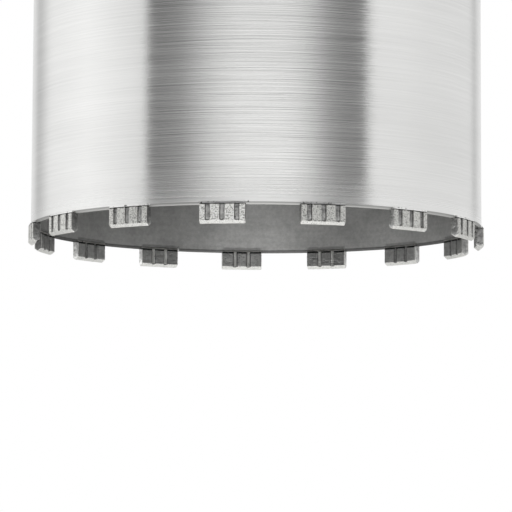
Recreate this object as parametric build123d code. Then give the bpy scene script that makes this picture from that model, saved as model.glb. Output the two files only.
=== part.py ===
from build123d import *
from math import asin, degrees, sqrt
import os

# Wet-drilling diamond core bit for a 254 mm hole: a thin steel barrel, open at the bottom, with
# sintered segments laser-welded round its rim, and a threaded drive hub on a welded end plate.
# Lengths are in millimetres and angles in degrees. Z is the drilling axis and points to the hub,
# with z = 0 at the segments' cutting faces. A bearing is an angle about Z from -Y towards +X.

# Cutting ring
CUT_DIAMETER = 254.0            # over the outer faces of the segments
SEGMENT_COUNT = 15
SEGMENT_LENGTH = 24.0           # along the rim
SEGMENT_THICKNESS = 4.5         # across the rim
SEGMENT_HEIGHT = 10.6           # from the cutting face to the seat in the rim
SEGMENT_CREST = 0.4             # flat left between the two slopes of the cutting edge
OUTER_SLOPE_WIDTH = 1.8         # across the rim; the inner slope takes the rest
OUTER_SLOPE_RISE = 1.4
INNER_SLOPE_RISE = 1.6
FIRST_BEARING = -8.0            # middle of segment 01

# Water grooves pressed into each segment
OUTER_GROOVE_COUNT = 3
OUTER_GROOVE_SPACING = 7.7      # middle to middle, along the outer face
OUTER_GROOVE_WIDTH = 2.5
OUTER_GROOVE_DEPTH = 1.4
OUTER_GROOVE_SILL = 1.75        # solid land left below each outer groove
OUTER_GROOVE_CORNER = 0.7       # bevel of the groove's two lower corners
INNER_GROOVE_COUNT = 2
INNER_GROOVE_SPACING = 7.9
INNER_GROOVE_WIDTH = 2.8
INNER_GROOVE_DEPTH = 0.7

# Barrel
OUTSIDE_CLEARANCE = 1.4         # how far the segments stand proud of the barrel's outside
BARREL_WALL = 2.4
CORE_DEPTH = 450.0              # from the cutting faces to the underside of the end plate
RIM_DROP = 0.6                  # rim between segments, below their seats
RIM_FLAT = 0.6                  # flat left between the two bevels of the rim
RIM_BEVEL = 1.6                 # height of those bevels
SEAT_CLEARANCE = 0.05           # at each end of a segment in its seat

# Laser-weld beads along the segments' tops
BEAD_HEIGHT = 1.1
OUTER_BEAD_TOE = 1.0            # width of the bead on the segment's top, outside the barrel
INNER_BEAD_TOE = 0.5
BEAD_CROWN = 0.15               # how far the bead's middle stands out

# End plate, with a spigot that centres the barrel
LIP_THICKNESS = 6.0             # part of the plate that covers the barrel's end
SPIGOT_DEPTH = 6.0              # part that stands inside the barrel
SPIGOT_CLEARANCE = 0.1
PLATE_EDGE = 1.0                # chamfer on the plate's upper edge
WELD_ROOT = 0.6                 # land of the barrel's end that meets the plate at the weld
WELD_CROWN = 0.5                # how far the plate weld stands out of its groove

# Drive hub, threaded 1 1/4 inch 7 UNC
THREAD_DIAMETER = 31.75
THREAD_PITCH = 25.4 / 7
HUB_HEIGHT = 62.0               # above the end plate
COLLAR_DIAMETER = 54.0
COLLAR_HEIGHT = 14.0
COLLAR_EDGE = 1.5
HEX_ACROSS_FLATS = 41.0
HEX_TOP_CIRCLE = 39.0           # circle where the chamfer of the hexagon's corners starts
HEX_CORNER_DROP = 2.4           # height of that chamfer at a corner
TENON_DIAMETER = 40.0           # part of the hub that passes through the end plate
TENON_CLEARANCE = 0.1
THREAD_LEAD = 1.0               # countersink beyond the thread's outside
HUB_WELD_LEG = 6.0

# Radii and levels that follow
cut_r = CUT_DIAMETER / 2
segment_inner_r = cut_r - SEGMENT_THICKNESS
barrel_r = cut_r - OUTSIDE_CLEARANCE
core_r = barrel_r - BARREL_WALL
rim_z = SEGMENT_HEIGHT - RIM_DROP
rim_edge = (BARREL_WALL - RIM_FLAT) / 2
barrel_top = CORE_DEPTH + SPIGOT_DEPTH
plate_top = barrel_top + LIP_THICKNESS
weld_groove = BARREL_WALL - WELD_ROOT
hub_top = plate_top + HUB_HEIGHT
thread_bore_r = (THREAD_DIAMETER - 1.0825 * THREAD_PITCH) / 2
thread_mouth_r = THREAD_DIAMETER / 2 + THREAD_LEAD
mouth_depth = thread_mouth_r - thread_bore_r
pitch_angle = 360 / SEGMENT_COUNT
bearings = [FIRST_BEARING + pitch_angle * i for i in range(SEGMENT_COUNT)]


def turned(section):
    """Solid of revolution of a section drawn with x as the radius and y as the height."""
    return revolve(Plane.XZ * section, axis=Axis.Z)


def polygon(*points):
    return make_face(Polyline(*points, close=True))


def spread(count, spacing):
    """Places of a centred row of like features."""
    return [spacing * (i - (count - 1) / 2) for i in range(count)]


def segment_blank():
    """Arc-shaped block at bearing 0 with a roof-shaped cutting edge, square across its ends."""
    crest_r = cut_r - OUTER_SLOPE_WIDTH
    section = polygon(
        (segment_inner_r, SEGMENT_HEIGHT),
        (segment_inner_r, INNER_SLOPE_RISE),
        (crest_r - SEGMENT_CREST, 0),
        (crest_r, 0),
        (cut_r, OUTER_SLOPE_RISE),
        (cut_r, SEGMENT_HEIGHT),
    )
    reach = 2 * SEGMENT_THICKNESS
    middle_y = -(cut_r + segment_inner_r) / 2
    cutout = Pos(0, middle_y, SEGMENT_HEIGHT / 2) * Box(SEGMENT_LENGTH, reach, 2 * SEGMENT_HEIGHT)
    return turned(section) & cutout


def outer_groove():
    """Cutter for one groove: open at the top, with bevelled lower corners."""
    height = SEGMENT_HEIGHT - OUTER_GROOVE_SILL + OUTER_GROOVE_CORNER
    slot = Pos(0, OUTER_GROOVE_SILL + height / 2) * Rectangle(OUTER_GROOVE_WIDTH, height)
    slot = chamfer(slot.vertices().sort_by(Axis.Y)[:2], OUTER_GROOVE_CORNER)
    floor = Plane.XZ.offset(cut_r - OUTER_GROOVE_DEPTH)
    return extrude(floor * slot, 2 * OUTER_GROOVE_DEPTH)


def inner_groove():
    """Cutter for one shallow round-bottomed groove over the whole height."""
    half = INNER_GROOVE_WIDTH / 2
    radius = (half**2 + INNER_GROOVE_DEPTH**2) / (2 * INNER_GROOVE_DEPTH)
    centre_y = -(segment_inner_r + INNER_GROOVE_DEPTH - radius)
    return Pos(0, centre_y, SEGMENT_HEIGHT / 2) * Cylinder(radius, 2 * SEGMENT_HEIGHT)


def segment():
    """One sintered segment at bearing 0."""
    body = segment_blank()
    for place in spread(OUTER_GROOVE_COUNT, OUTER_GROOVE_SPACING):
        body -= Rot(Z=degrees(asin(place / cut_r))) * outer_groove()
    for place in spread(INNER_GROOVE_COUNT, INNER_GROOVE_SPACING):
        body -= Rot(Z=degrees(asin(place / segment_inner_r))) * inner_groove()
    return body


def barrel_section():
    """Wall of the barrel: bevelled rim below, weld groove round the outside of the top."""
    rim_top = rim_z + RIM_BEVEL
    return polygon(
        (core_r, rim_top),
        (core_r + rim_edge, rim_z),
        (barrel_r - rim_edge, rim_z),
        (barrel_r, rim_top),
        (barrel_r, barrel_top - weld_groove),
        (barrel_r - weld_groove, barrel_top),
        (core_r, barrel_top),
    )


def barrel():
    """Open tube with a shallow seat in its rim for each segment."""
    wide = SEGMENT_THICKNESS + BARREL_WALL
    seat = Pos(0, -(core_r + barrel_r) / 2, SEGMENT_HEIGHT / 2) * Box(
        SEGMENT_LENGTH + 2 * SEAT_CLEARANCE, wide, SEGMENT_HEIGHT
    )
    return turned(barrel_section()) - [Rot(Z=bearing) * seat for bearing in bearings]


def bead(wall_r, toe):
    """Weld bead on a segment's top at bearing 0, against the wall at wall_r. Toe is negative inside."""
    low, high = SEGMENT_HEIGHT, SEGMENT_HEIGHT + BEAD_HEIGHT
    side = 1 if toe > 0 else -1
    root_r = wall_r - side * rim_edge
    crown = (wall_r + toe / 2 + side * BEAD_CROWN, (low + high) / 2 + BEAD_CROWN)
    outline = polygon((wall_r, high), (root_r, high), (root_r, low), (wall_r + toe, low), crown)
    section = outline - barrel_section()
    sweep = 2 * degrees(asin(SEGMENT_LENGTH / 2 / cut_r))
    return Rot(Z=-90 - sweep / 2) * revolve(Plane.XZ * section, axis=Axis.Z, revolution_arc=sweep)


def segment_welds():
    """Outer and inner bead of every segment."""
    pair = [bead(barrel_r, OUTER_BEAD_TOE), bead(core_r, -INNER_BEAD_TOE)]
    return [solid for bearing in bearings for one in pair for solid in (Rot(Z=bearing) * one).solids()]


def end_plate():
    """Disc on the barrel's end, with a spigot inside the barrel and a hole for the hub's tenon."""
    hole_r = TENON_DIAMETER / 2 + TENON_CLEARANCE
    spigot_r = core_r - SPIGOT_CLEARANCE
    return turned(
        polygon(
            (hole_r, CORE_DEPTH),
            (spigot_r, CORE_DEPTH),
            (spigot_r, barrel_top),
            (barrel_r - weld_groove, barrel_top),
            (barrel_r, barrel_top + weld_groove),
            (barrel_r, plate_top - PLATE_EDGE),
            (barrel_r - PLATE_EDGE, plate_top),
            (hole_r, plate_top),
        )
    )


def plate_weld():
    """Ring that fills the groove between the barrel's end and the plate."""
    return turned(
        polygon(
            (barrel_r - weld_groove, barrel_top),
            (barrel_r, barrel_top - weld_groove),
            (barrel_r + WELD_CROWN, barrel_top),
            (barrel_r, barrel_top + weld_groove),
        )
    )


def hub_weld():
    """Fillet weld between the hub's collar and the end plate."""
    collar_r = COLLAR_DIAMETER / 2
    return turned(
        polygon(
            (collar_r, plate_top),
            (collar_r + HUB_WELD_LEG, plate_top),
            (collar_r, plate_top + HUB_WELD_LEG),
        )
    )


def hexagon():
    """Spanner hexagon with its upper corners chamfered."""
    foot = plate_top + COLLAR_HEIGHT
    flats = extrude(
        Plane.XY.offset(foot) * RegularPolygon(HEX_ACROSS_FLATS / 2, 6, major_radius=False), hub_top - foot
    )
    corner_r = HEX_ACROSS_FLATS / sqrt(3)
    envelope = turned(
        polygon(
            (0, foot),
            (corner_r, foot),
            (corner_r, hub_top - HEX_CORNER_DROP),
            (HEX_TOP_CIRCLE / 2, hub_top),
            (0, hub_top),
        )
    )
    return flats & envelope


def drive_hub():
    """Threaded coupling: tenon through the plate, collar, hexagon and a through bore."""
    collar_r = COLLAR_DIAMETER / 2
    collar_top = plate_top + COLLAR_HEIGHT
    tenon_r = TENON_DIAMETER / 2
    turned_part = turned(
        polygon(
            (0, CORE_DEPTH),
            (tenon_r, CORE_DEPTH),
            (tenon_r, plate_top),
            (collar_r, plate_top),
            (collar_r, collar_top - COLLAR_EDGE),
            (collar_r - COLLAR_EDGE, collar_top),
            (0, collar_top),
        )
    )
    bore = turned(
        polygon(
            (0, CORE_DEPTH),
            (thread_bore_r, CORE_DEPTH),
            (thread_bore_r, hub_top - mouth_depth),
            (thread_mouth_r, hub_top),
            (0, hub_top),
        )
    )
    return turned_part + hexagon() - bore


def write(name, shape):
    export_step(shape, f"parts/{name}.step")


os.makedirs("parts", exist_ok=True)
write("barrel", barrel())
write("end_plate", end_plate())
write("drive_hub", drive_hub())
write("plate_weld", plate_weld())
write("hub_weld", hub_weld())
write("segment_welds", Compound(children=segment_welds()))
one_segment = segment()
for number, bearing in enumerate(bearings, start=1):
    write(f"segment_{number:02d}", Rot(Z=bearing) * one_segment)
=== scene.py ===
import math

import bmesh
import bpy
from mathutils import Matrix, Vector


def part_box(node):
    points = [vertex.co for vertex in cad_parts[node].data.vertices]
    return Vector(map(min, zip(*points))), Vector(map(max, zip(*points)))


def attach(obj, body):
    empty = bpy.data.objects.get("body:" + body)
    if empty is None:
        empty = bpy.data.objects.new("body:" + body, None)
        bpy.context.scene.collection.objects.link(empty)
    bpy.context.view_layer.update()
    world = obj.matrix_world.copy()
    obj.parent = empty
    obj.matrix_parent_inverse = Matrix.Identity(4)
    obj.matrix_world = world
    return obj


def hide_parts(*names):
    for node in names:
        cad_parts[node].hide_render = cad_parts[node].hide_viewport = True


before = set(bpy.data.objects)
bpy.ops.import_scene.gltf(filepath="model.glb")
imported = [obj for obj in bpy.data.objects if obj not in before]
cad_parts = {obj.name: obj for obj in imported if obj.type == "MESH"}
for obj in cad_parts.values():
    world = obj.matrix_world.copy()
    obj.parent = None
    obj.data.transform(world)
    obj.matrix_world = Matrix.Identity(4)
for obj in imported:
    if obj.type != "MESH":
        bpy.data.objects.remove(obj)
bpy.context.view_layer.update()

bl_info = {
    "name": "Diamond core bit",
    "version": (1, 0, 0),
    "blender": (4, 5, 0),
    "location": "View3D > Sidebar > Core Bit",
    "description": "Models a wet-drilling diamond core bit round its packed solids",
    "category": "Object",
}

# Lengths are in metres, as everywhere in Blender, and MM turns a size in millimetres into one.
# A bearing is an angle about Z from -Y towards +X, and a section is a list of (radius, height).
MM = 0.001
TAU = math.tau
MERGE = 0.002 * MM  # points closer together than this become one
SLACK = 0.01 * MM  # allowance when edges are found by their place
ROUND = 144  # sides of the hub's round parts

SEGMENT_NODES = sorted(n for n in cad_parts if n.startswith("segment_") and n[-1].isdigit())


def cut_radius():
    """Radius of the segments' outer faces, from the segment that lies across the X axis."""
    return max(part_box(node)[1][0] for node in SEGMENT_NODES)


def segment_top():
    """Height of the segments' tops, where the seats in the rim end."""
    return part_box(SEGMENT_NODES[0])[1][2]


def bearing_of(node):
    low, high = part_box(node)
    return math.atan2((low[0] + high[0]) / 2, -(low[1] + high[1]) / 2)


# ---- Sizes and colours ----


def length(name, description, millimetres):
    settings = {"min": 0.0, "precision": 5, "unit": "LENGTH", "subtype": "DISTANCE"}
    return bpy.props.FloatProperty(name=name, description=description, default=millimetres * MM, **settings)


def colour(name, description, default):
    settings = {"size": 3, "min": 0.0, "max": 1.0, "subtype": "COLOR"}
    return bpy.props.FloatVectorProperty(name=name, description=description, default=default, **settings)


class CoreBitSizes(bpy.types.PropertyGroup):
    """Sizes of the bit that the frame's boxes don't give"""

    barrel_wall: length("Barrel wall", "Thickness of the steel tube", 2.4)
    rim_flat: length("Rim flat", "Flat left between the rounded edges of the rim", 0.6)
    rim_rounding: length("Rim rounding", "Height of the rounded edges of the rim", 1.6)
    weld_groove: length("Weld groove", "Depth of the groove between barrel and end plate", 1.8)
    plate_edge: length("Plate edge", "Bevel on the end plate's upper edge", 1.0)
    plate_hole: length("Plate hole", "Radius of the end plate's hole round the tenon", 20.1)
    segment_length: length("Segment length", "Length of a segment along the rim", 24.0)
    segment_thickness: length("Segment thickness", "Thickness of a segment across the rim", 4.5)
    segment_crest: length("Segment crest", "Flat left between the slopes of the cutting edge", 0.4)
    outer_slope_width: length("Outer slope width", "Width of the cutting edge's outer slope", 1.8)
    outer_slope_rise: length("Outer slope rise", "Height of the cutting edge's outer slope", 1.4)
    inner_slope_rise: length("Inner slope rise", "Height of the cutting edge's inner slope", 1.6)
    end_bevel: length("End bevel", "Worn edge round each end of a segment", 0.45)
    outer_groove_spacing: length("Outer groove spacing", "Middle to middle of the outer grooves", 7.7)
    outer_groove_width: length("Outer groove width", "Width of a groove on the outer face", 2.5)
    outer_groove_depth: length("Outer groove depth", "Depth of a groove on the outer face", 1.4)
    outer_groove_sill: length("Outer groove sill", "Solid land left below an outer groove", 1.75)
    outer_groove_corner: length("Outer groove corner", "Rounding of an outer groove's lower corners", 0.85)
    inner_groove_spacing: length("Inner groove spacing", "Middle to middle of the inner grooves", 7.9)
    inner_groove_width: length("Inner groove width", "Width of a groove on the inner face", 2.8)
    inner_groove_depth: length("Inner groove depth", "Depth of a groove on the inner face", 0.7)
    grain: length("Segment grain", "Cell size of the mesh that carries the sintered grain", 0.24)
    outer_bead_foot: length("Outer bead foot", "Width of an outer weld bead on its segment", 0.95)
    inner_bead_foot: length("Inner bead foot", "Width of an inner weld bead on its segment", 0.5)
    bead_root: length("Bead root", "Depth that a weld bead reaches into the rim", 0.35)
    collar_height: length("Collar height", "Height of the hub's collar above the end plate", 14.0)
    collar_edge: length("Collar edge", "Rounding of the collar's upper edge", 1.5)
    hex_across_flats: length("Hexagon across flats", "Spanner size of the hub", 41.0)
    hex_top_circle: length("Hexagon top circle", "Circle where the hexagon's corner chamfers start", 39.0)
    hex_corner_drop: length("Hexagon corner drop", "Height of those chamfers at a corner", 2.4)
    tenon_radius: length("Tenon radius", "Part of the hub that passes through the end plate", 20.0)
    thread_diameter: length("Thread diameter", "Outside diameter of the drive thread", 31.75)
    thread_pitch: length("Thread pitch", "Pitch of the drive thread", 25.4 / 7)


class CoreBitColours(bpy.types.PropertyGroup):
    """Colours of the metals, as light reflected straight back"""

    barrel_steel: colour("Barrel steel", "Brushed outside of the barrel", (0.80, 0.80, 0.79))
    bore_steel: colour("Bore steel", "Unpolished inside of the barrel", (0.50, 0.50, 0.49))
    segment_metal: colour("Segment metal", "Ground and dressed faces of the segments", (0.80, 0.80, 0.77))
    segment_skin: colour("Segment skin", "Sintered skin of the segments", (0.52, 0.52, 0.51))
    weld_metal: colour("Weld metal", "Weld beads", (0.56, 0.55, 0.53))
    plate_steel: colour("Plate steel", "Face-turned end plate", (0.62, 0.62, 0.61))
    hub_steel: colour("Hub steel", "Machined drive hub", (0.58, 0.58, 0.57))


def settings_of(scene):
    return scene.core_bit_sizes, scene.core_bit_colours


# ---- Modelling steps shared by the pieces ----

# Relief that a texture presses into a finished mesh: its kind, the size of its forms, how far it moves the
# surface, and the level of the texture at which the surface stays where it is
RELIEFS = {
    "segment swell": ("CLOUDS", 3.0 * MM, 0.10 * MM, 1.0),
    "segment pits": ("VORONOI", 1.1 * MM, 0.45 * MM, 1.0),
    "weld ripple": ("CLOUDS", 0.9 * MM, 0.22 * MM, 0.75),
    "plate weld ripple": ("CLOUDS", 2.0 * MM, 0.3 * MM, 1.0),
    "hub weld swell": ("CLOUDS", 4.0 * MM, 0.5 * MM, 1.0),
}


def set_mode(mode):
    bpy.ops.object.mode_set(mode=mode)


def deselect_all():
    if bpy.context.object and bpy.context.object.mode != "OBJECT":
        set_mode("OBJECT")
    bpy.ops.object.select_all(action="DESELECT")


def pick(piece):
    """Selects the piece alone and makes it the active one."""
    deselect_all()
    bpy.context.view_layer.objects.active = piece
    piece.select_set(True)


def settle():
    """Moves the place, turn and size of the selected object into its mesh."""
    bpy.ops.object.transform_apply(location=True, rotation=True, scale=True)


def name_piece(name):
    piece = bpy.context.object
    piece.name = piece.data.name = name
    return piece


def draw_section(name, section):
    """Closed line through the section's points: a plane drawn together to one point, and extruded on from
    point to point. It's left selected, in edit mode."""
    points = [(radius, 0.0, height) for radius, height in section + section[:1]]
    deselect_all()
    bpy.ops.mesh.primitive_plane_add(size=MM)
    piece = name_piece(name)
    set_mode("EDIT")
    bpy.ops.mesh.select_mode(type="VERT")
    bpy.ops.mesh.merge(type="CENTER")
    bpy.ops.transform.translate(value=points[0])
    for start, end in zip(points, points[1:]):
        step = tuple(b - a for a, b in zip(start, end))
        bpy.ops.mesh.extrude_vertices_move(TRANSFORM_OT_translate={"value": step})
    bpy.ops.mesh.select_all(action="SELECT")
    return piece


def merge_and_face_out():
    bpy.ops.mesh.select_all(action="SELECT")
    bpy.ops.mesh.remove_doubles(threshold=MERGE)
    bpy.ops.mesh.normals_make_consistent(inside=False)


def spin(piece, sweep, steps):
    """Spins the selected outline about the Z axis and leaves edit mode."""
    bpy.ops.mesh.spin(steps=steps, angle=sweep, center=(0, 0, 0), axis=(0, 0, 1))
    merge_and_face_out()
    set_mode("OBJECT")
    return piece


def lathe(name, section, steps):
    """Closed ring turned from a section."""
    return spin(draw_section(name, section), TAU, steps)


def arc_bar(name, section, sweep, steps):
    """Closed bar spun from a section over an arc whose middle is at bearing 0."""
    piece = draw_section(name, section)
    bpy.ops.mesh.remove_doubles(threshold=MERGE)
    bpy.ops.mesh.edge_face_add()
    set_mode("OBJECT")
    turn_about_axis(piece, -math.pi / 2 + sweep / 2)
    set_mode("EDIT")
    bpy.ops.mesh.select_all(action="SELECT")
    return spin(piece, sweep, steps)


def add_box(size, middle):
    deselect_all()
    bpy.ops.mesh.primitive_cube_add(size=1, location=middle)
    bpy.context.object.dimensions = size
    settle()
    return bpy.context.object


def add_cylinder(name, radius, bottom, top, sides=ROUND, y=0.0):
    deselect_all()
    middle = (0, y, (bottom + top) / 2)
    bpy.ops.mesh.primitive_cylinder_add(vertices=sides, radius=radius, depth=top - bottom, location=middle)
    settle()
    return name_piece(name)


def add_cone(low_radius, high_radius, bottom, top):
    deselect_all()
    size = {"radius1": low_radius, "radius2": high_radius, "depth": top - bottom}
    bpy.ops.mesh.primitive_cone_add(vertices=ROUND, location=(0, 0, (bottom + top) / 2), **size)
    settle()
    return name_piece("cone")


def select_edges(test):
    """In edit mode, selects the edges that pass the test, and nothing else."""
    bpy.ops.mesh.select_mode(type="EDGE")
    bpy.ops.mesh.select_all(action="DESELECT")
    mesh = bmesh.from_edit_mesh(bpy.context.object.data)
    for edge in mesh.edges:
        if test(edge):
            edge.select_set(True)
    mesh.select_flush_mode()
    bmesh.update_edit_mesh(bpy.context.object.data)


def apply_modifier(piece, kind, **settings):
    modifier = piece.modifiers.new(kind.title(), kind)
    for key, value in settings.items():
        setattr(modifier, key, value)
    pick(piece)
    bpy.ops.object.modifier_apply(modifier=modifier.name)


def combine(piece, other, operation):
    """Boolean of the piece with the other, which is used up."""
    apply_modifier(piece, "BOOLEAN", operation=operation, solver="EXACT", object=other)
    bpy.data.objects.remove(other)


def cut_with(piece, cutter):
    combine(piece, cutter, "DIFFERENCE")


def turn_about_axis(piece, bearing):
    """Turns the piece about the drilling axis, in its mesh."""
    pick(piece)
    piece.rotation_euler.z = bearing
    settle()


def copy_of(piece, name):
    copy = piece.copy()
    copy.data = piece.data.copy()
    copy.name = copy.data.name = name
    bpy.context.collection.objects.link(copy)
    return copy


def join(pieces):
    pick(pieces[0])
    for piece in pieces:
        piece.select_set(True)
    bpy.ops.object.join()
    return bpy.context.object


def smooth(piece, angle):
    pick(piece)
    bpy.ops.object.shade_smooth_by_angle(angle=math.radians(angle))


def sink_cells(texture):
    """Cells whose middles are sunk and whose rest is flat."""
    texture.noise_intensity = 1.2
    texture.use_color_ramp = True
    sunk, flat = texture.color_ramp.elements
    sunk.position, sunk.color = 0.10, (0, 0, 0, 1)
    flat.position, flat.color = 0.34, (1, 1, 1, 1)


def press_relief(piece, name):
    """Presses a named relief into the piece, with its texture made at first use."""
    kind, size, strength, still = RELIEFS[name]
    texture = bpy.data.textures.get(name)
    if texture is None:
        texture = bpy.data.textures.new(name, kind)
        texture.noise_scale = size
        if kind == "VORONOI":
            sink_cells(texture)
    settings = {"texture": texture, "texture_coords": "LOCAL", "strength": strength, "mid_level": still}
    apply_modifier(piece, "DISPLACE", **settings)


def hand_over(piece, slot, *nodes):
    """The finished piece takes the place of its CAD nodes."""
    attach(piece, "root")
    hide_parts(*nodes)


# ---- Materials ----

# Ranges that hold most of a noise's values, and nearly all of them
NOISE_CORE = (0.35, 0.65)
NOISE_SPAN = (0.3, 0.7)

# Painted light and shade on the bare steel inside the barrel, as levels by bearing in degrees
BORE_PAINTED_LIGHT = [
    (-180, 1.09), (-171, 0.98), (-160, 0.88), (-145, 0.80), (-110, 0.77), (-60, 1.0),
    (110, 0.93), (125, 0.94), (140, 1.0), (160, 0.96), (170, 1.0), (180, 1.09),
]


class Nodes:
    """The node tree of a new material, or of an owner that has one, with short calls to add and join nodes.
    What a call takes as a value may be a number or colour, or another node's output."""

    def __init__(self, owner):
        if isinstance(owner, str):
            owner = bpy.data.materials.new(owner)
            owner.use_nodes = True
        self.owner = owner
        self.tree = owner.node_tree
        self.tree.nodes.clear()

    def feed(self, socket, value):
        if isinstance(value, bpy.types.NodeSocket):
            self.tree.links.new(value, socket)
        elif socket.type == "RGBA" and len(value) == 3:
            socket.default_value = (*value, 1.0)
        else:
            socket.default_value = value

    def add(self, kind, inputs=None, **settings):
        node = self.tree.nodes.new(kind)
        for key, value in settings.items():
            setattr(node, key, value)
        for key, value in (inputs or {}).items():
            self.feed(node.inputs[key], value)
        return node

    def math(self, operation, first, second=0.0):
        return self.add("ShaderNodeMath", {0: first, 1: second}, operation=operation).outputs[0]

    def plus(self, first, second):
        return self.math("ADD", first, second)

    def minus(self, first, second):
        return self.math("SUBTRACT", first, second)

    def times(self, first, second):
        return self.math("MULTIPLY", first, second)

    def place(self, scale=1):
        """Object coordinates times one number, or times one along each of X, Y and Z."""
        factors = (scale,) * 3 if isinstance(scale, int) else scale
        position = self.add("ShaderNodeTexCoord").outputs["Object"]
        return self.add("ShaderNodeMapping", {"Vector": position, "Scale": factors}).outputs["Vector"]

    def split(self, vector):
        return self.add("ShaderNodeSeparateXYZ", {0: vector}).outputs

    def noise(self, scale, detail=2.0, roughness=0.5):
        """Noise on object coordinates with a scale, or on another vector."""
        vector = scale if isinstance(scale, bpy.types.NodeSocket) else self.place(scale)
        inputs = {"Vector": vector, "Scale": 1.0, "Detail": detail, "Roughness": roughness}
        return self.add("ShaderNodeTexNoise", inputs).outputs["Fac"]

    def cells(self, scale):
        """Distance from the middle of the nearest cell."""
        inputs = {"Vector": self.place(scale), "Scale": 1.0}
        return self.add("ShaderNodeTexVoronoi", inputs).outputs["Distance"]

    def band(self, value, low, high, to_low=0.0, to_high=1.0):
        """The value's range from low to high, spread over to_low to to_high and held there."""
        inputs = {"Value": value, "From Min": low, "From Max": high, "To Min": to_low, "To Max": to_high}
        return self.add("ShaderNodeMapRange", inputs).outputs["Result"]

    def blend(self, kind, factor, first, second):
        node = self.add("ShaderNodeMix", data_type="RGBA", blend_type=kind)
        colours = [socket for socket in node.inputs if socket.type == "RGBA"]
        self.feed(next(socket for socket in node.inputs if socket.type == "VALUE"), factor)
        self.feed(colours[0], first)
        self.feed(colours[1], second)
        return next(socket for socket in node.outputs if socket.type == "RGBA")

    def mix(self, factor, first, second):
        return self.blend("MIX", factor, first, second)

    def grey(self, level):
        return self.add("ShaderNodeCombineColor", {0: level, 1: level, 2: level}).outputs[0]

    def tint(self, colour, level):
        """The colour, darker or lighter by a level."""
        return self.blend("MULTIPLY", 1.0, colour, self.grey(level))

    def darken(self, colour, mask, level):
        """The colour, brought down to a level of itself where the mask is 1."""
        return self.tint(colour, self.band(mask, 0, 1, 1, level))

    def bearing(self, vector):
        """Angle about Z from -Y towards +X, in radians."""
        x, y = self.split(vector)[:2]
        return self.math("ARCTAN2", x, self.times(y, -1.0))

    def by_bearing(self, bearing, levels):
        """Colour ramp round the Z axis, from a list of (bearing in degrees, level) from -180 to 180."""
        node = self.add("ShaderNodeValToRGB", {"Fac": self.band(bearing, -math.pi, math.pi)})
        elements = node.color_ramp.elements
        elements.remove(elements[-1])
        for index, (degrees, level) in enumerate(levels):
            place = (degrees + 180) / 360
            element = elements[0] if index == 0 else elements.new(place)
            element.position, element.color = place, (level, level, level, 1.0)
        return node.outputs["Color"]

    def radius(self):
        """Distance from the Z axis in millimetres."""
        flat = self.place((1000, 1000, 0))
        return self.add("ShaderNodeVectorMath", {0: flat}, operation="LENGTH").outputs["Value"]

    def height(self):
        """Height in millimetres."""
        return self.split(self.place(1000))["Z"]

    def bump(self, height, distance, strength=1.0, after=None):
        inputs = {"Height": height, "Distance": distance, "Strength": strength}
        if after:
            inputs["Normal"] = after
        return self.add("ShaderNodeBump", inputs).outputs["Normal"]

    def metal(self, tone, roughness, normal, drawn_out=0.0):
        """The finished metal. Its highlights can be drawn out across lines that run round the Z axis."""
        inputs = {"Metallic": 1.0, "Base Color": tone, "Roughness": roughness, "Normal": normal}
        if drawn_out:
            tangent = self.add("ShaderNodeTangent", direction_type="RADIAL", axis="Z").outputs[0]
            inputs.update({"Anisotropic": drawn_out, "Anisotropic Rotation": 0.25, "Tangent": tangent})
        shader = self.add("ShaderNodeBsdfPrincipled", inputs)
        self.add("ShaderNodeOutputMaterial", {"Surface": shader.outputs[0]})
        return self.owner


def shade(base, factor):
    return tuple(c * factor for c in base)


def brushed_steel(name, base, shoulder):
    """Steel brushed round its circumference: long fine lines, and a highlight drawn out along Z. Towards
    the shoulder it's rougher and paler, a painted highlight; the rim below is only deburred, so it's
    rougher, with painted shade, and a painted highlight along its lower rounding."""
    nodes = Nodes(name)
    height = nodes.height()
    hair = nodes.noise((12, 12, 1500), roughness=0.6)
    strand = nodes.noise((7, 7, 240))
    cloud = nodes.noise((9, 9, 28))
    lines = nodes.plus(nodes.times(hair, 0.7), nodes.times(strand, 0.3))
    tone = nodes.tint(base, nodes.band(lines, *NOISE_CORE, 0.935, 1.02))
    tone = nodes.tint(tone, nodes.band(cloud, *NOISE_CORE, 0.95, 1.0))
    # Painted highlight: up to 8% paler over the 9 mm above the shoulder, as if lit by the white floor below
    tone = nodes.tint(tone, nodes.band(height, shoulder + 9, shoulder + 1, 1.0, 1.08))
    # Painted shade: the rim below the shoulder is darkened to 0.68; the same mask also makes it rougher
    rim = nodes.band(height, shoulder + 0.05, shoulder - 0.35)
    tone = nodes.blend("MULTIPLY", rim, tone, (0.68, 0.68, 0.67))
    # Painted highlight: the rim's lower rounding is up to 1.38 times as light
    tone = nodes.tint(tone, nodes.band(height, shoulder - 1.1, shoulder - 0.6, 1.38, 1.0))
    rough = nodes.plus(nodes.band(lines, *NOISE_CORE, 0.18, 0.24), nodes.times(rim, 0.30))
    rough = nodes.plus(rough, nodes.band(height, shoulder + 16, shoulder + 1, 0.0, 0.08))
    return nodes.metal(tone, rough, nodes.bump(lines, 0.17 * MM), drawn_out=0.95)


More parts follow.
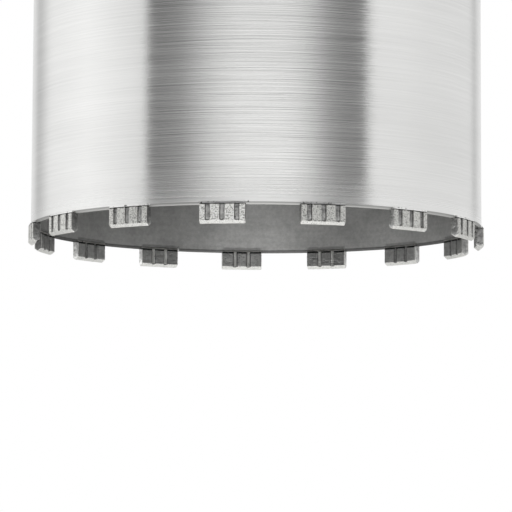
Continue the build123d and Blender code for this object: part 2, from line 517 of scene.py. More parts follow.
def mill_steel(name, base, shoulder, seat):
    """Dull tube steel inside the barrel, with faint blotches and painted light and shade by bearing, and
    darker along the rim and in a wavy band over the welds. The seat is the first segment's bearing and its
    half width, both as a share of the pitch."""
    nodes = Nodes(name)
    height = nodes.height()
    bearing = nodes.bearing(nodes.place())
    fine = nodes.noise((700, 700, 900))
    tone = nodes.tint(base, nodes.band(nodes.noise(70, detail=4.0), *NOISE_CORE, 0.90, 1.06))
    tone = nodes.tint(tone, nodes.band(nodes.noise((60, 60, 500)), *NOISE_SPAN, 0.9, 1.0))
    mottle = nodes.noise(450, detail=4.0, roughness=0.75)
    tone = nodes.tint(tone, nodes.band(mottle, *NOISE_CORE, 0.89, 1.11))
    # Painted light and shade: the bore is lighter or darker by bearing
    tone = nodes.tint(tone, nodes.by_bearing(bearing, BORE_PAINTED_LIGHT))

    turn = nodes.plus(nodes.times(bearing, len(SEGMENT_NODES) / TAU), 0.5 - seat[0])
    off = nodes.math("ABSOLUTE", nodes.minus(nodes.math("FLOORED_MODULO", turn, 1.0), 0.5))
    over_seat = nodes.band(off, seat[1] + 0.01, seat[1] - 0.02)
    wave = nodes.times(nodes.noise(260), 1.1)
    level = nodes.minus(nodes.plus(height, wave), shoulder + 0.5)
    halo = nodes.times(over_seat, nodes.band(level, 1.9, 1.3))
    tone = nodes.darken(tone, halo, 0.62)
    rim = nodes.band(nodes.minus(height, shoulder), 0.35, -0.15)
    tone = nodes.darken(tone, nodes.times(rim, nodes.minus(1.0, over_seat)), 0.30)
    return nodes.metal(tone, nodes.band(fine, *NOISE_SPAN, 0.40, 0.52), nodes.bump(fine, 0.03 * MM, 0.5))


def sintered_metal(name, base, skin, top, roof):
    """Pressed and sintered metal powder, with the faces told apart by the attribute "finish_and_light": red
    where it is ground or dressed bright, green on the inner face, and blue the depth into an inner groove,
    up to 1.
    Twice its alpha is the painted light and shade of that place. Top and roof are the heights in
    millimetres of the upper edge and of the cutting edge's slopes."""
    nodes = Nodes(name)
    height = nodes.height()
    finish_and_light = nodes.add("ShaderNodeAttribute", attribute_name="finish_and_light").outputs
    painted_light = nodes.times(finish_and_light["Alpha"], 2.0)
    ground, inside, depth = nodes.add("ShaderNodeSeparateColor", {0: finish_and_light["Color"]}).outputs[:3]
    speck = nodes.noise(1500, roughness=0.6)
    blotch = nodes.noise(420, detail=3.0, roughness=0.65)
    drag = nodes.noise((900, 900, 60))

    # Skin: the ends carry painted light, lighter towards the cutting edge as if lit from below, over random
    # mottling; the middles of the inner grooves carry a painted highlight, their flanks painted shade and
    # their feet a painted shadow
    grey = nodes.tint(shade(skin, 0.82), nodes.band(drag, *NOISE_SPAN, 0.90, 1.08))
    grey = nodes.tint(grey, nodes.band(blotch, 0.40, 0.60, 0.80, 1.05))
    ends = nodes.minus(1.0, nodes.math("MAXIMUM", inside, ground))
    # Painted light from below on the ends, with random mottling
    mottle_and_painted_light = nodes.plus(nodes.band(height, 1.5, 8.0, 0.3, -0.12), nodes.band(blotch, 0.4, 0.6, -0.15, 0.15))
    mottle_and_painted_light = nodes.plus(mottle_and_painted_light, nodes.band(height, 1.0, 3.5, 0.5, 0.0))
    grey = nodes.tint(grey, nodes.plus(1.0, nodes.times(ends, nodes.plus(mottle_and_painted_light, 0.1))))
    # Painted light and shade of this segment's ends
    grey = nodes.tint(grey, painted_light)
    # Painted highlight on the middles of the inner grooves, painted shade on their flanks, painted shadow
    # at their feet
    middle = nodes.band(depth, 0.60, 0.74)
    flank_shade = nodes.times(nodes.band(depth, 0.08, 0.2), nodes.minus(1.0, middle))
    grey = nodes.darken(grey, flank_shade, 0.58)
    grey = nodes.mix(nodes.times(middle, 0.68), grey, shade(base, 0.92))
    groove_foot_shadow = nodes.times(middle, nodes.band(height, roof + 0.25, roof))
    grey = nodes.darken(grey, groove_foot_shadow, 0.12)

    # Ground and dressed faces: bright, with dark specks and pits that are fainter on the slopes
    white = nodes.tint(shade(base, 1.18), nodes.band(speck, *NOISE_CORE, 0.88, 1.10))
    white = nodes.tint(white, nodes.band(height, roof - 0.3, roof + 0.1, 0.84, 1.0))
    upright = nodes.band(height, roof - 0.5, roof + 0.3, 0.35, 1.0)
    specks = nodes.band(nodes.noise(1400, roughness=0.6), 0.46, 0.39)
    pits = nodes.band(nodes.plus(nodes.cells(800), blotch), 0.66, 0.56)
    white = nodes.darken(white, nodes.times(specks, upright), 0.50)
    white = nodes.darken(white, nodes.times(pits, upright), 0.2)
    # Painted light and shade of this segment's outer lands, on the ground faces
    tone = nodes.mix(ground, grey, nodes.tint(white, painted_light))

    # Edge along the weld, scorched except over the inner grooves, and painted shade in the hollows of the
    # grain
    edge = nodes.minus(top - 0.25, nodes.times(inside, 0.55))
    scorched = nodes.band(nodes.plus(height, nodes.times(blotch, 0.7)), edge, nodes.plus(edge, 0.25))
    scorched = nodes.times(scorched, nodes.band(depth, 0.48, 0.62, 1.0, 0.0))
    tone = nodes.darken(tone, scorched, 0.07)
    # Painted shade where the surface is hollow
    hollow_shade = nodes.band(nodes.add("ShaderNodeNewGeometry").outputs["Pointiness"], 0.485, 0.43)
    tone = nodes.darken(tone, hollow_shade, 0.3)
    rough = nodes.plus(nodes.band(speck, *NOISE_SPAN, 0.30, 0.42), nodes.times(ground, 0.2))
    grain = nodes.plus(nodes.times(speck, 0.5), nodes.times(blotch, 0.5))
    return nodes.metal(tone, rough, nodes.bump(grain, 0.12 * MM, 0.8))


def milled_steel(name, base):
    """Flats milled along the Z axis."""
    nodes = Nodes(name)
    cuts = nodes.noise((900, 900, 14))
    tone = nodes.tint(base, nodes.band(cuts, *NOISE_CORE, 0.90, 1.08))
    rough = nodes.band(nodes.noise(60, detail=3.0), *NOISE_CORE, 0.28, 0.42)
    return nodes.metal(tone, rough, nodes.bump(cuts, 0.04 * MM, 0.6))


def welded_metal(name, base, burnt, ripples=0):
    """Weld metal with burnt specks, the more of them the higher burnt is, and with a number of ripples
    round the Z axis, whose troughs carry painted shade."""
    nodes = Nodes(name)
    spots = nodes.noise(520, detail=3.0, roughness=0.6)
    fine = nodes.noise(1900)
    tone = nodes.tint(base, nodes.band(spots, burnt - 0.04, burnt + 0.06, 0.12, 1.05))
    normal = nodes.bump(fine, 0.05 * MM, 0.6)
    if ripples:
        turn = nodes.times(nodes.bearing(nodes.place()), ripples / TAU)
        turn = nodes.plus(turn, nodes.times(spots, 0.8))
        wave = nodes.math("ABSOLUTE", nodes.math("SINE", nodes.times(turn, math.pi)))
        normal = nodes.bump(wave, 0.35 * MM, 0.8, after=normal)
        # Painted shade in the troughs between the ripples
        tone = nodes.tint(tone, nodes.band(wave, 0.05, 0.35, 0.55, 1.0))
    return nodes.metal(tone, nodes.band(fine, *NOISE_SPAN, 0.28, 0.42), normal)


def turned_steel(name, base):
    """Lathe-turned steel: rings round the Z axis."""
    nodes = Nodes(name)
    across = nodes.times(nodes.plus(nodes.radius(), nodes.height()), 1.3)
    line = nodes.add("ShaderNodeCombineXYZ", {0: across}).outputs[0]
    rings = nodes.noise(line, detail=3.0, roughness=0.6)
    tone = nodes.tint(base, nodes.band(rings, *NOISE_CORE, 0.90, 1.05))
    rough = nodes.band(rings, *NOISE_CORE, 0.42, 0.36)
    return nodes.metal(tone, rough, nodes.bump(rings, 0.04 * MM, 0.5), drawn_out=0.6)


def paint(piece, *materials):
    piece.data.materials.clear()
    for material in materials:
        piece.data.materials.append(material)


# ---- Pieces ----

SEAT_PLAY = 0.1 * MM  # between a segment's two ends and its seat
SPIGOT_PLAY = 0.1 * MM  # between the end plate's spigot and the tube
PLATE_ROUNDING = 0.25 * MM  # of the end plate's edges
SEAM_CROWN = 0.15 * MM  # how far the middle of the plate's weld stands out
LAND_DEPTH = 0.4 * MM  # how deep under a segment's outer face its lands reach
DROP_FLATNESS = 0.55  # of a drop of weld spatter, across the tube
THREAD_DEPTH = 0.54127  # of the pitch, between the thread's outside and inside radius

# Painted light and shade on each segment's left end, right end and outer lands, and how much of their depth
# its inner grooves show, which sets their painted highlight and shade, by the number of its node
SEGMENT_PAINTED_LIGHT = {
    "01": (1.0, 1.0, 1.05, 1.0),
    "02": (1.0, 1.0, 0.80, 1.0),
    "03": (1.15, 1.0, 0.74, 1.0),
    "04": (1.0, 1.0, 0.68, 1.0),
    "05": (0.58, 1.0, 0.80, 1.0),
    "06": (1.0, 1.0, 1.0, 0.68),
    "07": (0.88, 1.0, 1.0, 0.66),
    "10": (1.0, 1.25, 1.0, 1.0),
    "11": (1.0, 1.0, 1.0, 0.66),
    "12": (1.0, 0.40, 1.0, 0.70),
    "13": (1.0, 0.48, 0.80, 1.0),
    "14": (1.0, 0.60, 0.80, 1.0),
    "15": (1.0, 0.66, 0.77, 1.0),
}
NO_PAINTED_LIGHT = (1.0, 1.0, 1.0, 1.0)

# Drops of weld spatter: outside (1) or inside (-1) the tube, bearing in degrees, how far the middle stands
# out, height over the segments' tops and radius in millimetres, stretch along Z, and whether it's burnt
WELD_SPATTER = [
    (1, -12.95, 0.85, 0.30, 0.42, 1.0, 1),
    (1, -3.0, 0.65, 0.50, 0.50, 0.9, 0),
    (1, -1.9, 0.0, 0.90, 0.35, 1.0, 1),
    (1, 35.0, 0.75, 0.60, 0.50, 0.9, 0),
    (1, 36.2, 0.75, 0.75, 0.30, 1.0, 1),
    (1, -26.2, 0.0, 0.60, 0.45, 1.0, 0),
    (-1, 202.3, 0.0, 1.00, 0.60, 2.6, 0),
]


def rounded_corner(start, end, steps=4):
    """Points of an arc from start, where the wall is upright, to end, in (radius, height)."""
    across, up = end[0] - start[0], end[1] - start[1]
    radius = (across**2 + up**2) / (2 * abs(across))
    side = math.copysign(1, across)
    sweep = math.asin(abs(up) / radius)
    points = []
    for i in range(steps + 1):
        angle = sweep * i / steps
        drop = math.copysign(radius * math.sin(angle), up)
        points.append((start[0] + side * radius * (1 - math.cos(angle)), start[1] + drop))
    return points


class COREBIT_OT_barrel(bpy.types.Operator):
    """Steel tube with a rounded rim, seats for the segments and a weld groove at the top"""

    bl_idname = "corebit.barrel"
    bl_label = "Barrel"

    def execute(self, context):
        sizes, colours = settings_of(context.scene)
        low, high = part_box("barrel")
        outer, bottom, top = high[0], low[2], high[2]
        inner = outer - sizes.barrel_wall
        edge = (sizes.barrel_wall - sizes.rim_flat) / 2
        shoulder = bottom + sizes.rim_rounding
        inside = rounded_corner((inner, shoulder), (inner + edge, bottom))
        outside = rounded_corner((outer, shoulder), (outer - edge, bottom))
        groove = [(outer, top - sizes.weld_groove), (outer - sizes.weld_groove, top)]
        barrel = lathe("barrel_tube", inside + outside[::-1] + groove + [(inner, top)], steps=360)
        middle = (inner + outer) / 2
        self.cut_seats(barrel, sizes, middle)
        smooth(barrel, 25)
        pitch = TAU / len(SEGMENT_NODES)
        seat = (bearing_of(SEGMENT_NODES[0]) / pitch, math.asin(sizes.segment_length / 2 / outer) / pitch)
        paint(
            barrel,
            brushed_steel("brushed steel", colours.barrel_steel, shoulder / MM),
            mill_steel("tube bore", colours.bore_steel, shoulder / MM, seat),
        )
        for face in barrel.data.polygons:
            face.material_index = int(math.hypot(face.center.x, face.center.y) < middle)
        hand_over(barrel, "brushed_tube_steel", "barrel")
        return {"FINISHED"}

    def cut_seats(self, barrel, sizes, middle):
        """One box for each segment, cut out of the rim up to the segments' tops."""
        top = segment_top()
        boxes = []
        for node in SEGMENT_NODES:
            size = (sizes.segment_length + SEAT_PLAY, 3 * sizes.barrel_wall, top)
            box = add_box(size, (0, -middle, top / 2))
            turn_about_axis(box, bearing_of(node))
            boxes.append(box)
        cut_with(barrel, join(boxes))


class COREBIT_OT_segments(bpy.types.Operator):
    """Fifteen sintered segments with water grooves, each with its own grain"""

    bl_idname = "corebit.segments"
    bl_label = "Segments"

    def execute(self, context):
        sizes, colours = settings_of(context.scene)
        blank = self.blank(sizes)
        self.cut_outer_grooves(blank, sizes)
        self.cut_inner_grooves(blank, sizes)
        apply_modifier(blank, "REMESH", mode="VOXEL", voxel_size=sizes.grain)
        apply_modifier(blank, "SMOOTH", factor=0.4, iterations=2)
        self.mark_finish(blank, sizes)
        areas = self.find_areas(blank, sizes)
        heights = (segment_top() / MM, sizes.inner_slope_rise / MM)
        metal = sintered_metal("sintered metal", colours.segment_metal, colours.segment_skin, *heights)
        for node in SEGMENT_NODES:
            piece = copy_of(blank, node.replace("segment", "cutting_segment"))
            self.set_painted_light(piece, areas, SEGMENT_PAINTED_LIGHT.get(node[-2:], NO_PAINTED_LIGHT))
            turn_about_axis(piece, bearing_of(node))
            press_relief(piece, "segment swell")
            press_relief(piece, "segment pits")
            smooth(piece, 180)
            paint(piece, metal)
            hand_over(piece, "sintered_segment", node)
        bpy.data.objects.remove(blank)
        return {"FINISHED"}

    def blank(self, sizes):
        """Arc-shaped block at bearing 0 with a roof-shaped cutting edge, square across its ends."""
        outer, top = cut_radius(), segment_top()
        inner = outer - sizes.segment_thickness
        crest = outer - sizes.outer_slope_width
        section = [
            (inner, top),
            (inner, sizes.inner_slope_rise),
            (crest - sizes.segment_crest, 0),
            (crest, 0),
            (outer, sizes.outer_slope_rise),
            (outer, top),
        ]
        half_arc = 0.56 * sizes.segment_length  # a little more than half, to be cut square
        block = arc_bar("segment_blank", section, 2 * math.asin(half_arc / inner), steps=36)
        set_mode("EDIT")
        for side in (-1, 1):
            end = (side * sizes.segment_length / 2, 0, 0)
            bpy.ops.mesh.select_all(action="SELECT")
            bpy.ops.mesh.bisect(plane_co=end, plane_no=(side, 0, 0), clear_outer=True, use_fill=True)
        merge_and_face_out()
        reach = sizes.segment_length / 2 - SLACK

        def worn_edge(edge):
            below_top = min(v.co.z for v in edge.verts) < top - SLACK
            return below_top and all(abs(v.co.x) > reach for v in edge.verts)

        select_edges(worn_edge)
        bpy.ops.mesh.bevel(offset=sizes.end_bevel, segments=2, affect="EDGES")
        merge_and_face_out()
        set_mode("OBJECT")
        return block

    def cut_outer_grooves(self, block, sizes):
        """Three flat-bottomed grooves with rounded lower corners, open at the top."""
        outer = cut_radius()
        floor, sill = outer - sizes.outer_groove_depth, sizes.outer_groove_sill
        top = segment_top() + MM
        thick = 4 * MM

        def lower_corner(edge):
            first, second = (v.co for v in edge.verts)
            return max(first.z, second.z) < sill + SLACK and abs(first.y - second.y) > MM

        cutters = []
        for step in (-1, 0, 1):
            size = (sizes.outer_groove_width, thick, top - sill)
            cutter = add_box(size, (0, -floor - thick / 2, (sill + top) / 2))
            set_mode("EDIT")
            select_edges(lower_corner)
            bpy.ops.mesh.bevel(offset=sizes.outer_groove_corner, segments=6, affect="EDGES")
            turn_about_axis(cutter, math.asin(step * sizes.outer_groove_spacing / outer))
            cutters.append(cutter)
        cut_with(block, join(cutters))

    def cut_inner_grooves(self, block, sizes):
        """Two round-bottomed grooves over the whole height."""
        inner = cut_radius() - sizes.segment_thickness
        half, depth = sizes.inner_groove_width / 2, sizes.inner_groove_depth
        radius = (half**2 + depth**2) / (2 * depth)
        height = segment_top()
        cutters = []
        for step in (-0.5, 0.5):
            y = -(inner + depth - radius)
            cutter = add_cylinder("groove_cutter", radius, -0.5 * height, 1.5 * height, sides=32, y=y)
            turn_about_axis(cutter, math.asin(step * sizes.inner_groove_spacing / inner))
            cutters.append(cutter)
        cut_with(block, join(cutters))

    def mark_finish(self, block, sizes):
        """Tells the faces apart by where they are and face, before the grain moves them."""
        outer = cut_radius()
        inner = outer - sizes.segment_thickness
        reach = sizes.segment_length / 2 - sizes.end_bevel
        finish_and_light = block.data.attributes.new("finish_and_light", "FLOAT_COLOR", "POINT")
        for vertex, mark in zip(block.data.vertices, finish_and_light.data):
            across = Vector((vertex.co.x, vertex.co.y, 0.0))
            radius = across.length
            facing = vertex.normal.dot(across / radius)
            edge = abs(vertex.co.x) > reach and 0.35 < abs(facing) < 0.93
            land = facing > 0.6 and radius > outer - LAND_DEPTH
            ground = vertex.normal.z < -0.4 or edge or land
            inside = facing < -0.5 and not ground
            depth = (radius - inner) / sizes.inner_groove_depth if inside else 0.0
            mark.color = (float(ground), float(inside), depth, 0.5)

    def find_areas(self, block, sizes):
        """Points of the left end, the right end, the outer lands and the inner face."""
        reach = sizes.segment_length / 2 - sizes.end_bevel
        left, right, lands, inner_face = areas = [], [], [], []
        for vertex, mark in zip(block.data.vertices, block.data.attributes["finish_and_light"].data):
            ground, inside = mark.color[0] > 0.5, mark.color[1] > 0.5
            if inside:
                inner_face.append(vertex.index)
            elif not ground and abs(vertex.co.x) > reach:
                (right if vertex.co.x > 0 else left).append(vertex.index)
            elif ground and vertex.co.z > sizes.outer_slope_rise:
                lands.append(vertex.index)
        return areas

    def set_painted_light(self, piece, areas, light_levels):
        """Writes the painted light and shade into the alpha of "finish_and_light", and scales the depth of
        the inner grooves, which sets their painted highlight and shade.
        """
        finish_and_light = piece.data.attributes["finish_and_light"].data
        for area, tone in zip(areas[:3], light_levels):
            for index in area:
                finish_and_light[index].color = (*finish_and_light[index].color[:3], tone / 2)
        for index in areas[3]:
            red, green, blue, alpha = finish_and_light[index].color
            finish_and_light[index].color = (red, green, blue * light_levels[3], alpha)


class COREBIT_OT_segment_welds(bpy.types.Operator):
    """Laser-weld beads along the segments' tops, outside and inside the barrel"""

    bl_idname = "corebit.segment_welds"
    bl_label = "Segment welds"

    def execute(self, context):
        sizes, colours = settings_of(context.scene)
        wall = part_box("barrel")[1][0]
        low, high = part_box("segment_welds")
        polished = welded_metal("brushed weld metal", colours.barrel_steel, burnt=0.36)
        # Painted light: the inner beads' weld metal is made half again as light
        raw_painted_lighter = welded_metal("weld metal", shade(colours.weld_metal, 1.5), burnt=0.34)
        for name, radius, foot, metal in (
            ("weld_beads_outer", wall, sizes.outer_bead_foot, polished),
            ("weld_beads_inner", wall - sizes.barrel_wall, -sizes.inner_bead_foot, raw_painted_lighter),
        ):
            master = self.bead(radius, foot, low[2], high[2], sizes)
            beads = []
            for node in SEGMENT_NODES:
                bead = copy_of(master, f"{name}_{node[-2:]}")
                turn_about_axis(bead, bearing_of(node))
                beads.append(bead)
            bpy.data.objects.remove(master)
            join(beads)
            piece = name_piece(name)
            press_relief(piece, "weld ripple")
            smooth(piece, 60)
            paint(piece, metal)
            hand_over(piece, "weld_metal", "segment_welds")
        burnt = welded_metal("burnt weld metal", colours.weld_metal, burnt=0.95)
        self.spatter(wall, low[2], sizes, (polished, burnt))
        return {"FINISHED"}

    def bead(self, wall, foot, low, high, sizes):
        """Bead at bearing 0: crowned face from the segment's top to the wall, rooted in the rim. A negative
        foot points to the axis."""
        steps, fullness = 6, 0.8
        face = []
        for i in range(steps + 1):
            angle = math.pi / 2 * i / steps
            out, rise = math.cos(angle) ** fullness, math.sin(angle) ** fullness
            face.append((wall + foot * out, low + (high - low) * rise))
        root = wall - math.copysign(sizes.bead_root, foot)
        section = [(root, low)] + face + [(root, high)]
        return arc_bar("bead", section, 2 * math.asin(sizes.segment_length / 2 / wall), steps=64)

    def spatter(self, wall, level, sizes, metals):
        """Drops of weld metal where some of the beads start or stop, half sunk in the tube or its beads."""
        drops = []
        for side, bearing, out, height, size, stretch, metal in WELD_SPATTER:
            deselect_all()
            radius = wall if side > 0 else wall - sizes.barrel_wall
            place = (0, -radius - side * out * MM, level + height * MM)
            bpy.ops.mesh.primitive_ico_sphere_add(subdivisions=3, radius=size * MM, location=place)
            drop = bpy.context.object
            drop.scale = (1, DROP_FLATNESS, stretch)
            settle()
            turn_about_axis(drop, math.radians(bearing))
            paint(drop, metals[metal])
            drops.append(drop)
        join(drops)
        piece = name_piece("weld_spatter")
        smooth(piece, 60)
        hand_over(piece, "weld_metal")


class COREBIT_OT_end_plate(bpy.types.Operator):
    """End plate with its spigot, and the weld that joins it to the barrel"""

    bl_idname = "corebit.end_plate"
    bl_label = "End plate"

    def execute(self, context):
        sizes, colours = settings_of(context.scene)
        rim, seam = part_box("barrel")[1][0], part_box("barrel")[1][2]
        low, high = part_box("end_plate")
        hole, groove, edge = sizes.plate_hole, sizes.weld_groove, sizes.plate_edge
        spigot = rim - sizes.barrel_wall - SPIGOT_PLAY
        section = [
            (hole, low[2]),
            (spigot, low[2]),
            (spigot, seam),
            (rim - groove, seam),
            (rim, seam + groove),
            (rim, high[2] - edge),
            (rim - edge, high[2]),
            (hole, high[2]),
        ]
        plate = lathe("end_plate_disc", section, steps=240)
        settings = {"segments": 2, "limit_method": "ANGLE", "angle_limit": math.radians(40)}
        apply_modifier(plate, "BEVEL", width=PLATE_ROUNDING, **settings)
        smooth(plate, 30)
        paint(plate, turned_steel("turned steel", colours.plate_steel))
        hand_over(plate, "turned_steel", "end_plate")

        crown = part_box("plate_weld")[1][0]
        shoulder, half = crown - SEAM_CROWN, 0.6 * groove
        section = [
            (rim - groove, seam),
            (rim, seam - groove),
            (shoulder, seam - half),
            (crown, seam),
            (shoulder, seam + half),
            (rim, seam + groove),
        ]
        weld = lathe("plate_weld_bead", section, steps=720)
        press_relief(weld, "plate weld ripple")
        smooth(weld, 60)
        paint(weld, welded_metal("seam weld metal", colours.weld_metal, burnt=0.30, ripples=420))
        hand_over(weld, "weld_metal", "plate_weld")
        return {"FINISHED"}


class COREBIT_OT_drive_hub(bpy.types.Operator):
    """Threaded drive hub with its hexagon, and the weld that joins it to the end plate"""

    bl_idname = "corebit.drive_hub"
    bl_label = "Drive hub"

    def execute(self, context):
        sizes, colours = settings_of(context.scene)
        low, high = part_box("drive_hub")
        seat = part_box("end_plate")[1][2]
        foot = seat + sizes.collar_height
        hub = self.body(sizes, low[2], seat, foot, high)
        self.cut_bore(hub, sizes, low[2], high[2])
        smooth(hub, 25)
        steel = colours.hub_steel
        paint(hub, turned_steel("hub steel", steel), milled_steel("milled flats", steel))
        reach = sizes.hex_across_flats / 2 - 0.1 * MM
        for face in hub.data.polygons:
            normal, centre = face.normal, face.center
            out = normal.x * centre.x + normal.y * centre.y
            face.material_index = int(centre.z > foot and abs(normal.z) < 0.01 and out > reach)
        hand_over(hub, "hub_steel", "drive_hub")
        self.weld(sizes, colours, seat)
        return {"FINISHED"}

    def body(self, sizes, bottom, seat, foot, high):
        """Tenon, collar and chamfered hexagon in one."""
        collar = add_cylinder("drive_hub_body", high[0], seat, foot)
        set_mode("EDIT")
        select_edges(lambda edge: all(v.co.z > foot - SLACK for v in edge.verts))
        bpy.ops.mesh.bevel(offset=sizes.collar_edge, segments=3, affect="EDGES")
        set_mode("OBJECT")
        corner, circle = sizes.hex_across_flats / math.sqrt(3), sizes.hex_top_circle / 2
        hexagon = add_cylinder("hexagon", corner, foot - MM, high[2], sides=6)
        turn_about_axis(hexagon, math.radians(30))
        slope = sizes.hex_corner_drop / (corner - circle)
        spread = (high[2] - foot + MM) / slope
        combine(hexagon, add_cone(circle + spread, circle, foot - MM, high[2]), "INTERSECT")
        combine(collar, hexagon, "UNION")
        combine(collar, add_cylinder("tenon", sizes.tenon_radius, bottom, seat + MM), "UNION")
        return collar

    def cut_bore(self, hub, sizes, bottom, top):
        """Bore, thread and countersunk mouth. The thread runs out through both ends."""
        pitch, outside = sizes.thread_pitch, sizes.thread_diameter / 2
        bore, mouth = outside - THREAD_DEPTH * pitch, outside + MM
        cut_with(hub, add_cylinder("bore", bore, bottom - MM, top + MM))
        cut_with(hub, add_cone(bore - MM, mouth + MM, top - (mouth - bore) - MM, top + MM))
        start = bottom - 1.5 * pitch
        within = bore - 0.2 * MM
        floor, opening = 0.0625, 0.47  # half widths of the thread's groove, in pitches
        profile = [(within, -opening), (outside, -floor), (outside, floor), (within, opening)]
        coil = draw_section("thread_cutter", [(radius, start + share * pitch) for radius, share in profile])
        bpy.ops.mesh.remove_doubles(threshold=MERGE)
        set_mode("OBJECT")
        turns = math.ceil((top - start) / pitch) + 1
        settings = {"axis": "Z", "angle": TAU, "steps": 72, "render_steps": 72}
        apply_modifier(coil, "SCREW", screw_offset=pitch, iterations=turns, **settings)
        set_mode("EDIT")
        merge_and_face_out()
        bpy.ops.mesh.fill_holes(sides=4)
        merge_and_face_out()
        set_mode("OBJECT")
        cut_with(hub, coil)

    def weld(self, sizes, colours, seat):
        """Fillet weld with a slightly crowned, rippled face."""
        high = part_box("hub_weld")[1]
        leg = high[2] - seat
        toe, wall = high[0], high[0] - leg
        steps, fullness = 8, 0.09 * leg
        face = [(toe, seat)]
        for i in range(1, steps):
            share = i / steps
            crown = fullness * math.sin(math.pi * share)
            face.append((toe - leg * share + crown, seat + leg * share + crown))
        face.append((wall, seat + leg))
        weld = lathe("hub_weld_bead", [(wall, seat)] + face, steps=360)
        press_relief(weld, "hub weld swell")
        smooth(weld, 50)
        paint(weld, welded_metal("fillet weld metal", colours.weld_metal, burnt=0.30, ripples=96))
        hand_over(weld, "weld_metal", "hub_weld")


# ---- Stage ----

FLOOR_RADIUS, FLOOR_DROP = 4.0, 0.2 * MM
FLOOR_COLOUR = (0.86, 0.86, 0.86)

LAMP_PLACE, LAMP_AIM = (-0.6, -0.8, 2.0), (0, 0, 0.1)
LAMP_SIZE = (1.6, 1.2)
LAMP_POWER = 12.0

CAMERA_LENS = 196.54
CAMERA_PLACE = (0.0, -1.5539, -0.1612)
CAMERA_PITCH, CAMERA_ROLL = 5.77, 0.268  # degrees

# Level of the studio by bearing, in degrees: soft panels at the sides and in front, dark gaps between them
SURROUND_BANDS = [
    (-180, 0.95), (-155, 0.76), (-147, 0.58), (-141, 0.68), (-129, 1.01), (-110, 1.10), (-95, 1.16),
    (-84, 1.11), (-66, 0.97), (-57.8, 0.89), (-55.8, 0.18), (-46, 0.22), (-38, 0.28), (-30, 0.47),
    (-20, 0.72), (-8, 0.88), (10, 0.89), (19, 0.81), (27, 0.63), (35, 0.36), (43, 0.23), (56, 0.19),
    (58.5, 0.97), (80, 0.95), (95, 0.91), (140, 0.87), (146, 0.56), (152, 0.76), (180, 0.95),
]


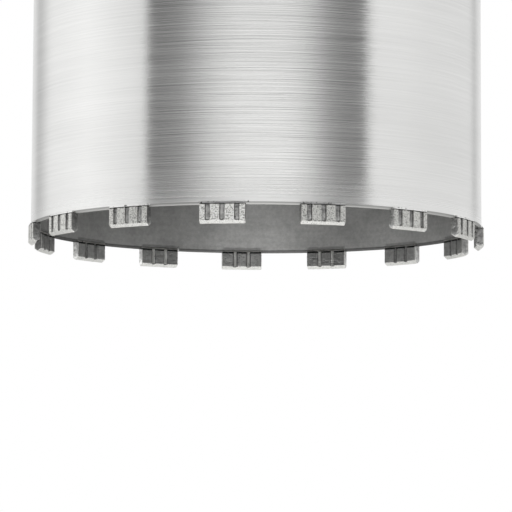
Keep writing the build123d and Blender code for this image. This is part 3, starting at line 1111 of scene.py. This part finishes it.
class COREBIT_OT_stage(bpy.types.Operator):
    """Pale floor, studio surround, lamp and camera"""

    bl_idname = "corebit.stage"
    bl_label = "Stage"

    def execute(self, context):
        self.floor()
        self.surround(context.scene)
        self.lamp()
        self.camera(context.scene)
        context.scene.view_settings.view_transform = "Standard"
        return {"FINISHED"}

    def floor(self):
        """White floor that is seen from above only, so that light and the camera reach in from below."""
        deselect_all()
        circle = {"vertices": 96, "radius": FLOOR_RADIUS, "fill_type": "NGON"}
        bpy.ops.mesh.primitive_circle_add(location=(0, 0, -FLOOR_DROP), **circle)
        floor = name_piece("studio_floor")
        settle()
        nodes = Nodes("studio floor")
        white = nodes.add("ShaderNodeBsdfDiffuse", {"Color": FLOOR_COLOUR}).outputs[0]
        clear = nodes.add("ShaderNodeBsdfTransparent").outputs[0]
        seen = nodes.add("ShaderNodeLightPath").outputs["Is Camera Ray"]
        below = nodes.add("ShaderNodeNewGeometry").outputs["Backfacing"]
        shown = nodes.times(seen, nodes.minus(1.0, below))
        shader = nodes.add("ShaderNodeMixShader", {0: shown, 1: clear, 2: white})
        nodes.add("ShaderNodeOutputMaterial", {"Surface": shader.outputs[0]})
        paint(floor, nodes.owner)

    def surround(self, scene):
        """White to the camera. In reflections, soft panels at the sides and the front with dark gaps. The
        front panels fade upwards, and below the horizon there's an apron, brightest in front."""
        world = bpy.data.worlds.new("studio surround")
        scene.world = world
        world.use_nodes = True
        nodes = Nodes(world)
        direction = nodes.add("ShaderNodeTexCoord").outputs["Generated"]
        rise = nodes.split(direction)["Z"]
        bearing = nodes.bearing(direction)
        aside = nodes.math("ABSOLUTE", bearing)
        front = nodes.band(aside, math.radians(55), math.radians(60), 1.0, 0.0)
        fade = nodes.minus(nodes.band(rise, -0.10, 0.36, 1.65, 0.25), 1.0)
        level = nodes.plus(1.0, nodes.times(front, fade))
        panels = nodes.tint(nodes.by_bearing(bearing, SURROUND_BANDS), level)
        apron = nodes.band(rise, -0.50, -0.72, 0.50, 1.10)
        apron = nodes.times(apron, nodes.band(aside, 0.4, 1.9, 1.36, 0.82))
        below = nodes.band(rise, -0.22, -0.34)
        glossy = nodes.add("ShaderNodeBackground", {"Color": nodes.mix(below, panels, nodes.grey(apron))})
        plain = nodes.add("ShaderNodeBackground", {"Color": (1, 1, 1)})
        mirrored = nodes.add("ShaderNodeLightPath").outputs["Is Glossy Ray"]
        mix = nodes.add("ShaderNodeMixShader", {0: mirrored, 1: plain.outputs[0], 2: glossy.outputs[0]})
        nodes.add("ShaderNodeOutputWorld", {"Surface": mix.outputs[0]})

    def lamp(self):
        """Overhead softbox for the shadow on the floor; it isn't mirrored in the metal."""
        bpy.ops.object.light_add(type="AREA", location=LAMP_PLACE)
        lamp = name_piece("overhead_softbox")
        lamp.data.shape = "RECTANGLE"
        lamp.data.size, lamp.data.size_y = LAMP_SIZE
        lamp.data.energy = LAMP_POWER
        lamp.rotation_euler = (Vector(LAMP_AIM) - lamp.location).to_track_quat("-Z", "Y").to_euler()
        lamp.visible_glossy = False

    def camera(self, scene):
        """Long lens below the level of the rim, looking slightly up."""
        data = bpy.data.cameras.new("camera")
        camera = bpy.data.objects.new("camera", data)
        scene.collection.objects.link(camera)
        data.sensor_width = 36.0
        data.lens = CAMERA_LENS
        data.clip_end = 50.0
        pitch = Matrix.Rotation(math.radians(90 + CAMERA_PITCH), 3, "X")
        roll = Matrix.Rotation(math.radians(CAMERA_ROLL), 3, "Z")
        camera.location = CAMERA_PLACE
        camera.rotation_euler = (pitch @ roll).to_euler()
        scene.camera = camera


class COREBIT_PT_panel(bpy.types.Panel):
    """Steps of the core bit, in order"""

    bl_idname = "COREBIT_PT_panel"
    bl_label = "Core Bit"
    bl_space_type = "VIEW_3D"
    bl_region_type = "UI"
    bl_category = "Core Bit"

    def draw(self, context):
        for step in STEPS:
            self.layout.operator(step.bl_idname)
        for group in settings_of(context.scene):
            column = self.layout.column()
            for name in group.__annotations__:
                column.prop(group, name)


STEPS = (
    COREBIT_OT_barrel,
    COREBIT_OT_segments,
    COREBIT_OT_segment_welds,
    COREBIT_OT_end_plate,
    COREBIT_OT_drive_hub,
    COREBIT_OT_stage,
)
CLASSES = (CoreBitSizes, CoreBitColours, *STEPS, COREBIT_PT_panel)


def register():
    for cls in CLASSES:
        bpy.utils.register_class(cls)
    bpy.types.Scene.core_bit_sizes = bpy.props.PointerProperty(type=CoreBitSizes)
    bpy.types.Scene.core_bit_colours = bpy.props.PointerProperty(type=CoreBitColours)


def unregister():
    del bpy.types.Scene.core_bit_colours
    del bpy.types.Scene.core_bit_sizes
    for cls in reversed(CLASSES):
        bpy.utils.unregister_class(cls)


def main():
    register()
    for step in STEPS:
        operator = step.bl_idname.split(".")
        getattr(getattr(bpy.ops, operator[0]), operator[1])()


if __name__ == "__main__":
    main()
